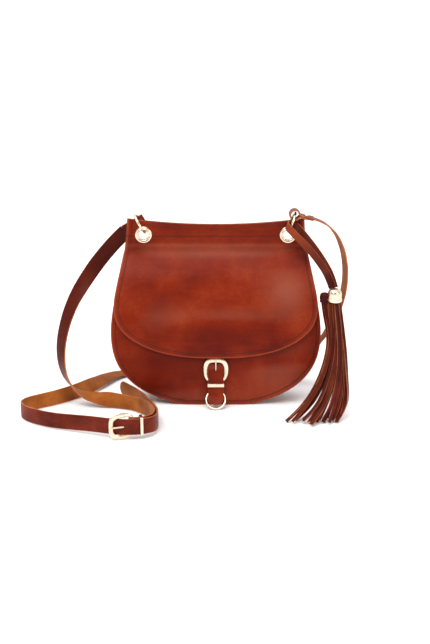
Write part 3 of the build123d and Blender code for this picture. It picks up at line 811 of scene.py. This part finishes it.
def strip(name, line, sides, width, thickness, materials, step=2.0, tip=0.0, dome=0.25, curl=0.0,
          tones=(0, 0)):
    """A flat strap along a line; sides gives shares of its length and the width direction at each."""
    s = lengths(line)
    count = max(3, int(round(s[-1] / step)) + 1)
    at = np.linspace(0, s[-1], count)
    if tip:
        at = np.unique(np.r_[at, s[-1] - tip + tip * np.sin(np.linspace(0, math.pi / 2, 12))])
        at = at[:-1] if at[-1] > s[-1] - 1e-6 else at
        at = np.r_[at, s[-1] - 0.02]
    middle = np.stack([np.interp(at, s, line[:, k]) for k in range(3)], 1)
    along = unit(np.gradient(middle, axis=0))
    marks, turn = sides[0], unit(np.array(sides[1], float))
    side = np.stack([np.interp(at / s[-1], marks, turn[:, k]) for k in range(3)], 1)
    side = unit(side - along * np.sum(along * side, axis=1)[:, None])
    across = np.cross(along, side)
    half_w = np.full(len(at), width / 2)
    if tip:
        d = np.clip((at - (s[-1] - tip)) / tip, 0, 1)
        half_w = width / 2 * np.sqrt(np.clip(1 - d ** 2, 0.0004, 1))
    profile = []
    cols = 9
    for face, sign in ((0, 1), (1, -1)):
        for k in range(cols):
            u = sign * (-1 + 2 * k / (cols - 1))
            v = sign * thickness / 2 * (1 - dome * u ** 4) + curl * (u * u - 0.5)
            profile.append((u * (1 - 0.25 / (width / 2)), v, face if k < cols - 1 else 2))
        profile.append((sign, curl * 0.5, 2))
    n = len(profile)
    verts, faces, slots, rim = [], [], [], []
    for i in range(len(at)):
        for u, v, _ in profile:
            verts.append(middle[i] + side[i] * u * half_w[i] + across[i] * v)
            rim.append(min(1.0, (1 - abs(u)) * half_w[i] / 10))
    for i in range(len(at) - 1):
        for k in range(n):
            a, b = i * n + k, i * n + (k + 1) % n
            faces.append([a, b, b + n, a + n][::-1])
            slots.append(profile[k][2])
    faces += [list(range(n)), [(len(at) - 1) * n + k for k in range(n)][::-1]]
    slots += [2, 2]
    tone = np.repeat(np.interp(at / s[-1], np.linspace(0, 1, len(tones)), tones), n)
    return mesh_object(name, verts, faces, materials, slots, rim, 60, tone), middle, side, across


def steady(side):
    """One width direction all along."""
    return (0, 1), [side, side]


def directions(route):
    """The width directions of a route, at each point's share of its length."""
    places = np.array([p for p, _ in route], float)
    s = lengths(places)
    return s / s[-1], [d for _, d in route]


def subtract(obj, cutters):
    """Cuts the cutters out of a piece and removes them."""
    for cutter in cutters:
        cut = obj.modifiers.new("cut", "BOOLEAN")
        cut.operation, cut.object, cut.solver = "DIFFERENCE", cutter, "EXACT"
    bpy.context.view_layer.update()
    made = bpy.data.meshes.new_from_object(obj.evaluated_get(bpy.context.evaluated_depsgraph_get()))
    obj.modifiers.clear()
    obj.data = made
    for cutter in cutters:
        bpy.data.objects.remove(cutter)


def punch(obj, places, normals, radius):
    """Round holes through a strap."""
    cutters = []
    for place, normal in zip(places, normals):
        bpy.ops.mesh.primitive_cylinder_add(vertices=16, radius=radius * MM, depth=0.012,
                                            location=[c * MM for c in place])
        cutter = bpy.context.object
        cutter.rotation_mode = "QUATERNION"
        cutter.rotation_quaternion = mathutils.Vector(normal).to_track_quat("Z", "Y")
        cutters.append(cutter)
    subtract(obj, cutters)


def make_straps():
    short_line = follow([p for p, _ in SHORT_ROUTE])
    short, *_ = strip("strap_short_leather", short_line, directions(SHORT_ROUTE), STRAP_W, STRAP_T,
                      [SUEDE, STRAP, EDGE], tones=(-1, -0.9, -0.9, -0.5, 0, 0.2, 0))
    long_line = follow([p for p, _ in LONG_ROUTE])
    long, middle, _, across = strip("strap_long_leather", long_line, directions(LONG_ROUTE), STRAP_W,
                                    STRAP_T, [STRAP, SUEDE, EDGE], tip=9)
    s = lengths(middle)
    places, normals = [], []
    for k in range(STRAP_HOLES):
        i = int(np.argmin(np.abs(s - (s[-1] - FIRST_HOLE - HOLE_PITCH * k))))
        places.append(middle[i])
        normals.append(across[i])
    punch(long, places, normals, 1.7)
    for obj, node in ((short, "strap_short"), (long, "strap_long")):
        stand_in(obj, "bag", node)
    return (short, short_line), (long, long_line)


def fold_line(middle, tail_dir, up, radius, tail, gap=1.25):
    """The middle line of a strap's end folded round a wire: lower layer, loop, upper layer."""
    middle, tail_dir, up = (np.array(v, float) for v in (middle, tail_dir, up))
    start = math.asin(gap / radius)
    angles = np.linspace(-start, start - 2 * math.pi, 40)
    loop = [middle + radius * (math.cos(a) * tail_dir + math.sin(a) * up) for a in angles]
    lower = [middle + tail_dir * d - up * gap for d in np.linspace(tail, radius * 1.5, 8)]
    upper = [middle + tail_dir * d + up * gap for d in np.linspace(radius * 1.5, tail, 8)]
    return even(np.array(lower + loop + upper), 90)


def make_fold(name, node, middle, tail_dir, up, radius, tail, width):
    line = fold_line(middle, tail_dir, up, radius, tail)
    side = np.cross(up, tail_dir)
    obj, *_ = strip(name, line, steady(side), width, STRAP_T, [STRAP, SUEDE, EDGE], step=1.2)
    stand_in(obj, "bag", node)
    return obj


def axes(x_dir, z_dir):
    """Unit axes of a piece's own frame."""
    x, z = unit(np.array(x_dir, float)), unit(np.array(z_dir, float))
    return x, np.cross(z, x), z


def cut_box(obj, centre, x_dir, z_dir, size):
    """A slot through a piece."""
    bpy.ops.mesh.primitive_cube_add(size=1)
    cutter = bpy.context.object
    x, y, z = axes(x_dir, z_dir)
    matrix = mathutils.Matrix.Identity(4)
    for k, (axis, length) in enumerate(zip((x, y, z), size)):
        for row in range(3):
            matrix[row][k] = axis[row] * length * MM
    for row in range(3):
        matrix[row][3] = centre[row] * MM
    cutter.matrix_world = matrix
    subtract(obj, [cutter])


TURN = math.radians(14.0)
TO_FAR = np.array([-math.cos(TURN), -math.sin(TURN), 0])
BUCKLE_AT = np.array([-101.0, -146.5, 16.6])
BUCKLE_BACK = np.cross(TO_FAR, (0, 0, 1))


def make_rivet(name, node, middle, tail_dir, up):
    """A domed double-cap rivet through the two layers of a fold."""
    post = np.array(middle) + unit(np.array(tail_dir, float)) * 15.5
    cap = [(0.2, 3.9), (1.6, 3.8), (2.7, 3.4), (3.3, 2.8), (3.4, 2.4)]
    stem = [(1.3, 2.4), (1.3, -2.4)]
    profile = cap + stem + [(r, -h) for r, h in cap[::-1]]
    lathe(name, profile, post, up, GOLD, "bag", node, count=40)


def make_folds():
    tilt = unit(np.array([0.37, 0, 0.93]))
    right = np.array([99.8, 25.7, 234.6]) + tilt * 11.2
    left = np.array([-99.5, 36.9, 232.5])
    right_way = (0.975, 0, -0.222), (0.222, 0, 0.975)       # the tail's direction, and up
    left_way = (-0.866, 0, -0.5), (0, 1, 0)
    make_fold("strap_long_fold_leather", "strap_long_fold", right, *right_way, 6.4, 25, 19.4)
    make_fold("strap_short_fold_leather", "strap_short_fold", left, *left_way, 5.6, 25, 18.4)
    make_rivet("strap_long_rivet_caps", "strap_long_rivet", right, *right_way)
    make_rivet("strap_short_rivet_caps", "strap_short_rivet", left, *left_way)
    chape = make_fold("strap_short_chape_leather", "strap_short_chape", BUCKLE_AT, -TO_FAR, BUCKLE_BACK,
                      2.9, 16, 18.8)
    cut_box(chape, BUCKLE_AT, (0, 0, 1), TO_FAR, (4.8, 14, 10))


# ---- metal --------------------------------------------------------------------------------------
def loop_mesh(name, inner, outer, axis, half, profile, material):
    """A closed band between two loops; profile: (share from inner to outer, share of half the depth)."""
    n = len(inner)
    axis = np.array(axis, float)
    verts, faces = [], []
    for share, height in profile:
        verts += list(inner + (outer - inner) * share + axis * half * height)
    m = len(profile)
    for k in range(m):
        for i in range(n):
            a, b = k * n + i, k * n + (i + 1) % n
            c, d = ((k + 1) % m) * n + (i + 1) % n, ((k + 1) % m) * n + i
            faces.append([a, b, c, d])
    obj = mesh_object(name, verts, faces, [material], smooth=35)
    outward(obj)
    return obj


def outward(obj):
    """Makes a closed mesh's faces point outward."""
    work = bmesh.new()
    work.from_mesh(obj.data)
    bmesh.ops.recalc_face_normals(work, faces=work.faces)
    work.to_mesh(obj.data)
    work.free()


STEPPED = [(0.0, 0.1), (0.05, 0.6), (0.14, 0.82), (0.22, 0.8), (0.28, 0.95), (0.5, 1.0), (0.75, 0.95),
           (0.92, 0.7),
           (1.0, 0.2), (0.98, -0.6), (0.85, -0.95), (0.2, -0.95), (0.05, -0.6)]


def make_frame(name, node, body, origin, x_dir, z_dir, far_y):
    """A rounded buckle frame with a stepped face, its heel thinned to a bar."""
    right = through([(11.4, -1.9), (15.0, 4), (16.4, 10), (15.9, 19.5), (12.2, 26), (5, 28.2)], 60)
    hole = through([(9.4, 1.5), (10.5, 4), (10.5, 10), (9.9, 18.0), (7.0, 22.0), (3, 22.8)], 60)
    outer = np.vstack([[(0, -1.4)], right, [(0, 28.3)], (right * (-1, 1))[::-1]])
    inner = np.vstack([[(0, 1.4)], hole, [(0, 22.9)], (hole * (-1, 1))[::-1]])
    tilt = math.atan2(far_y, 25.6)
    x, y, z = axes(x_dir, z_dir)

    def place(flat):
        return (np.array(origin) + flat[:, :1] * x + flat[:, 1:] * math.cos(tilt) * z
                + flat[:, 1:] * math.sin(tilt) * y)

    axis = -(y * math.cos(tilt) - z * math.sin(tilt))
    obj = loop_mesh(name, place(inner), place(outer), axis, 1.7, STEPPED, GOLD)
    stand_in(obj, body, node)


def rounded_rectangle(half_x, half_y, corner, count=10):
    points = []
    for sx, sy, start in ((1, 1, 0), (-1, 1, 90), (-1, -1, 180), (1, -1, 270)):
        for a in np.linspace(start, start + 90, count):
            points.append((sx * (half_x - corner) + corner * math.cos(math.radians(a)),
                           sy * (half_y - corner) + corner * math.sin(math.radians(a))))
    return np.array(points)


BAND = [(0.0, 0.8), (0.25, 1.0), (0.75, 0.9), (1.0, 0.5), (1.12, 0.0), (1.0, -0.5), (0.75, -0.9),
        (0.25, -1.0),
        (0.0, -0.8)]


def make_keeper(name, node, body, origin, x_dir, z_dir, half_x, y_front, y_back, z_low, height):
    x, y, z = axes(x_dir, z_dir)
    centre = np.array(origin, float) + y * (y_front + y_back) / 2 + z * (z_low + height / 2)
    half_y = (y_back - y_front) / 2

    def place(flat):
        return centre + flat[:, :1] * x + flat[:, 1:] * y

    inner = place(rounded_rectangle(half_x, half_y, 0.6))
    outer = place(rounded_rectangle(half_x + 0.8, half_y + 0.8, 1.3))
    obj = loop_mesh(name, inner, outer, z, height / 2, BAND, GOLD)
    stand_in(obj, body, node)


def lathe(name, profile, origin, axis, material, body, node, count=72, ridges=0.0, folds=0):
    """A turned shape: profile of (radius, height) along an axis; a closed profile makes a ring."""
    axis = unit(np.array(axis, float))
    a = unit(np.cross(axis, (1, 0, 0) if abs(axis[0]) < 0.9 else (0, 1, 0)))
    b = np.cross(axis, a)
    verts, faces = [], []
    for r, h in profile:
        for i in range(count):
            t = 2 * math.pi * i / count
            rr = r * (1 + ridges * math.cos(folds * t))
            verts.append(np.array(origin) + axis * h + rr * (math.cos(t) * a + math.sin(t) * b))
    m = len(profile)
    for k in range(m):
        for i in range(count):
            j = (i + 1) % count
            faces.append([k * count + i, k * count + j, ((k + 1) % m) * count + j, ((k + 1) % m) * count + i])
    obj = mesh_object(name, verts, faces, [material], smooth=40)
    outward(obj)
    stand_in(obj, body, node)


def make_grommets():
    front = [(6.2, 29.2), (6.2, 22.7), (6.45, 22.0), (7.0, 21.5), (7.7, 21.3), (8.35, 21.55), (8.7, 22.1),
             (8.9, 22.25), (10.1, 22.1), (10.85, 22.45), (11.2, 23.0), (11.25, 23.5), (7.0, 23.5),
             (7.0, 29.2)]
    back = [(6.9, 27.9), (6.3, 29.0), (6.6, 29.5), (7.3, 29.6), (9.6, 29.2), (10.4, 28.7), (10.5, 27.9)]
    for (hx, hz), word in zip(GROMMETS, ("left", "right")):
        for side, profile, part in (("face", front, "eyelet"), ("back", back, "washer")):
            lathe(f"grommet_{word}_{side}", profile, (hx, 0, hz), DEEP, GOLD, "bag",
                  f"grommet_{word}_{part}")


def dress(node, material):
    """A CAD node that stays in view gets its finish and smooth shading."""
    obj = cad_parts[node]
    data = obj.data
    data.materials.clear()
    data.materials.append(material)
    data.polygons.foreach_set("use_smooth", [True] * len(data.polygons))
    data.set_sharp_from_angle(angle=math.radians(38))
    places = np.zeros(len(data.vertices) * 3, np.float32)
    data.vertices.foreach_get("co", places)
    keep(data, "rest", places, "FLOAT_VECTOR", "vector")
    keep(data, "rim", np.ones(len(data.vertices), np.float32))


def make_metal():
    make_grommets()
    make_frame("closure_buckle", "closure_buckle_frame", "flap", (0, -36.9, 37.8), (1, 0, 0), (0, 0, 1), -0.5)
    make_frame("strap_buckle", "strap_buckle_frame", "bag", BUCKLE_AT, (0, 0, 1), TO_FAR, -2.6)
    make_keeper("closure_keeper_band", "closure_keeper", "closure_keeper", (0, 0, 0), (1, 0, 0), (0, 0, 1),
                10.3, -42.6, -35.2, 28.6, 4.6)
    make_keeper("strap_keeper_band", "strap_keeper", "strap_keeper", BUCKLE_AT, (0, 0, 1), TO_FAR,
                10.7, -8.4, 2.8, -12.8, 3.6)
    for node in ("ring_left", "ring_right", "closure_ring", "closure_prong", "strap_prong"):
        dress(node, GOLD)
    for node in ("snap_socket", "snap_socket_plate", "snap_stud"):
        dress(node, STEEL)


# ---- closure strap ------------------------------------------------------------------------------
CLOSURE = [(-30.5, 96), (-31.9, 82), (-32.6, 72), (-34.2, 66), (-34.9, 60.5), (-38.5, 54.5), (-41.0, 49),
           (-41.4, 42), (-40.6, 34), (-40.5, 28), (-41.7, 20), (-45.4, 12.5), (-49.2, 6.3)]


def make_closure():
    line = through([(0, y, z) for y, z in CLOSURE], 200)
    obj, *_ = strip("closure_strap_leather", line, steady((1, 0, 0)), STRAP_W, 1.9, [PLAIN, SUEDE, EDGE],
                    step=1.3, tip=9)
    punch(obj, [(0, -40.2, 51.8)], [(0, -1, 0.3)], 1.9)
    stand_in(obj, "flap", "closure_strap")
    dress("closure_chape", PLAIN)


# ---- tassel -------------------------------------------------------------------------------------
LACE_ROUTE = [
    ((148.5, -36.6, 160.0), (0.9, 0.1, 0.3)), ((143.5, -31, 175), (0.88, 0, 0.45)),
    ((134, -21.5, 189), (0.8, 0, 0.6)), ((121, -11.5, 205), (0.75, 0, 0.66)),
    ((105.5, -2.5, 219.5), (0.7, 0, 0.7)), ((93.6, 6, 230.6), (0.45, 0, 0.89)),
    ((92.6, 18.8, 233.5), (0.37, 0, 0.93)), ((105.6, 18.8, 230.8), (0.37, 0, 0.93)),
    ((108.6, 7.5, 228.4), (0.45, 0, 0.9)), ((116, 1, 220), (0.6, 0, 0.8)),
    ((127.5, -9.5, 206), (0.75, 0, 0.66)), ((139.5, -20.5, 189), (0.85, 0, 0.5)),
    ((148, -29.5, 173.5), (0.9, 0.05, 0.4)), ((151.6, -34.8, 160.0), (0.9, 0.1, 0.3)),
]
CAP_AT = (151, -38.5, 144)
FALL = [(151, -39, 146, 6.4, 6.4), (152, -42.5, 131, 7.6, 7.2), (153.5, -50, 106, 9.5, 8.5),
        (153, -60, 76, 13.5, 11), (148, -72, 46, 21, 14), (138, -83, 20, 31, 16), (125, -91, 3.0, 38, 18)]
SECOND = [(139.2, -36.8, 142, 3.4, 3.4), (142.5, -42, 122, 4, 4), (145.5, -49, 104, 4.5, 4.5),
          (146, -56, 84, 6, 5)]


def hanging(name, stations, spread, depth, wobble, width, twist, materials, tip_shift=(0, 0, 0)):
    """One thin leather strip of the fringe, from the cap down to its tip."""
    points = []
    for k, (x, y, z, a, b) in enumerate(stations):
        share = k / (len(stations) - 1)
        sway_x = wobble[0] * math.sin(3 * share + wobble[2]) * share * 3
        sway_y = wobble[1] * math.sin(2.6 * share + wobble[2] * 2) * share * 3
        points.append((x + a * spread * 0.92 + sway_x, y + b * depth * 0.9 + sway_y, z))
    last = points[-1]
    points[-1] = (last[0] + tip_shift[0], last[1] + tip_shift[1], max(1.7, last[2] + tip_shift[2]))
    line = through(points, 60)
    sides = []
    for k in range(6):
        angle = twist[0] + (twist[1] - twist[0]) * k / 5
        sides.append((math.cos(angle), math.sin(angle), 0.0))
    turns = np.linspace(0, 1, len(sides)), sides
    obj, *_ = strip(name, line, turns, width, 1.2, materials, step=3.2, curl=rng.uniform(-0.25, 0.4))
    return obj


def make_tassel():
    line = follow([p for p, _ in LACE_ROUTE])
    lace, *_ = strip("tassel_lace_leather", line, directions(LACE_ROUTE), 9.2, 1.9,
                     [SHADE, FRINGE, EDGE], step=1.2, tones=(-0.6, 0.2, 1, 1, 0.3, -0.6))
    stand_in(lace, "lace", "tassel_lace")
    axis = (math.sin(math.radians(3)), -math.sin(math.radians(8)), 1)
    bell = [(0.4, 15.9), (3.0, 15.85), (5.6, 15.3), (7.5, 13.8), (8.5, 11.6), (9.0, 8.4), (9.05, 4.4),
            (9.2, 4.0), (9.75, 3.7), (9.9, 2.0), (9.75, 0.3), (9.2, 0.0), (8.3, 0.1), (8.1, 4.0),
            (7.6, 11.0), (0.4, 14.4)]
    lathe("tassel_bell", bell, CAP_AT, axis, GOLD, "tassel", "tassel_cap")
    head = [(0.3, 13.2), (2.6, 13.0), (4.6, 12.0), (5.8, 9.8), (6.2, 7.0), (6.0, 3.6), (5.6, 2.8),
            (5.9, 2.2), (5.6, 0.4), (4.6, 0.0), (0.3, 0.2)]
    lathe("tassel_knot", head, (139.0, -36.6, 141), UP, FRINGE, "tassel", "tassel_head",
          ridges=0.03, folds=5)
    strips = []
    for i in range(FRINGE_STRIPS):
        spread = -1 + 2 * (i + 0.5) / FRINGE_STRIPS
        depth = rng.uniform(-1, 1) * math.sqrt(max(0.05, 1 - spread * spread))
        wobble = (rng.uniform(-1, 1), rng.uniform(-1, 1), rng.uniform(0, 6))
        base = rng.uniform(-0.5, 0.5)
        twist = (base, base + rng.uniform(-1.1, 1.1))
        shift = (rng.uniform(-4, 4), rng.uniform(-10, 4), rng.uniform(-1.5, 3))
        flipped = rng.random() < 0.18
        materials = [SHADE, FRINGE, EDGE] if flipped else [FRINGE, SHADE, EDGE]
        strips.append(hanging(f"fringe_{i:02d}", FALL, spread, depth, wobble, rng.uniform(4.4, 5.8), twist,
                              materials, shift))
    for obj in strips:
        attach(obj, "tassel")
    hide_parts("tassel_fringe")
    for i in range(SIDE_STRIPS):
        spread = -1 + 2 * (i + 0.5) / SIDE_STRIPS
        obj = hanging(f"fringe_side_{i}", SECOND, spread, rng.uniform(-1, 1), (0.3, 0.3, i), 4.6,
                      (rng.uniform(-0.5, 0.5), rng.uniform(-0.9, 0.9)), [FRINGE, SHADE, EDGE],
                      (0, 0, rng.uniform(-8, 4)))
        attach(obj, "tassel")
        if i == 0:
            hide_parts("tassel_second_fringe")


make_folds()
short_strap, long_strap = make_straps()
make_metal()
make_front_panel()
make_back_panel()
make_gusset()
make_flap()
make_closure()
make_tassel()
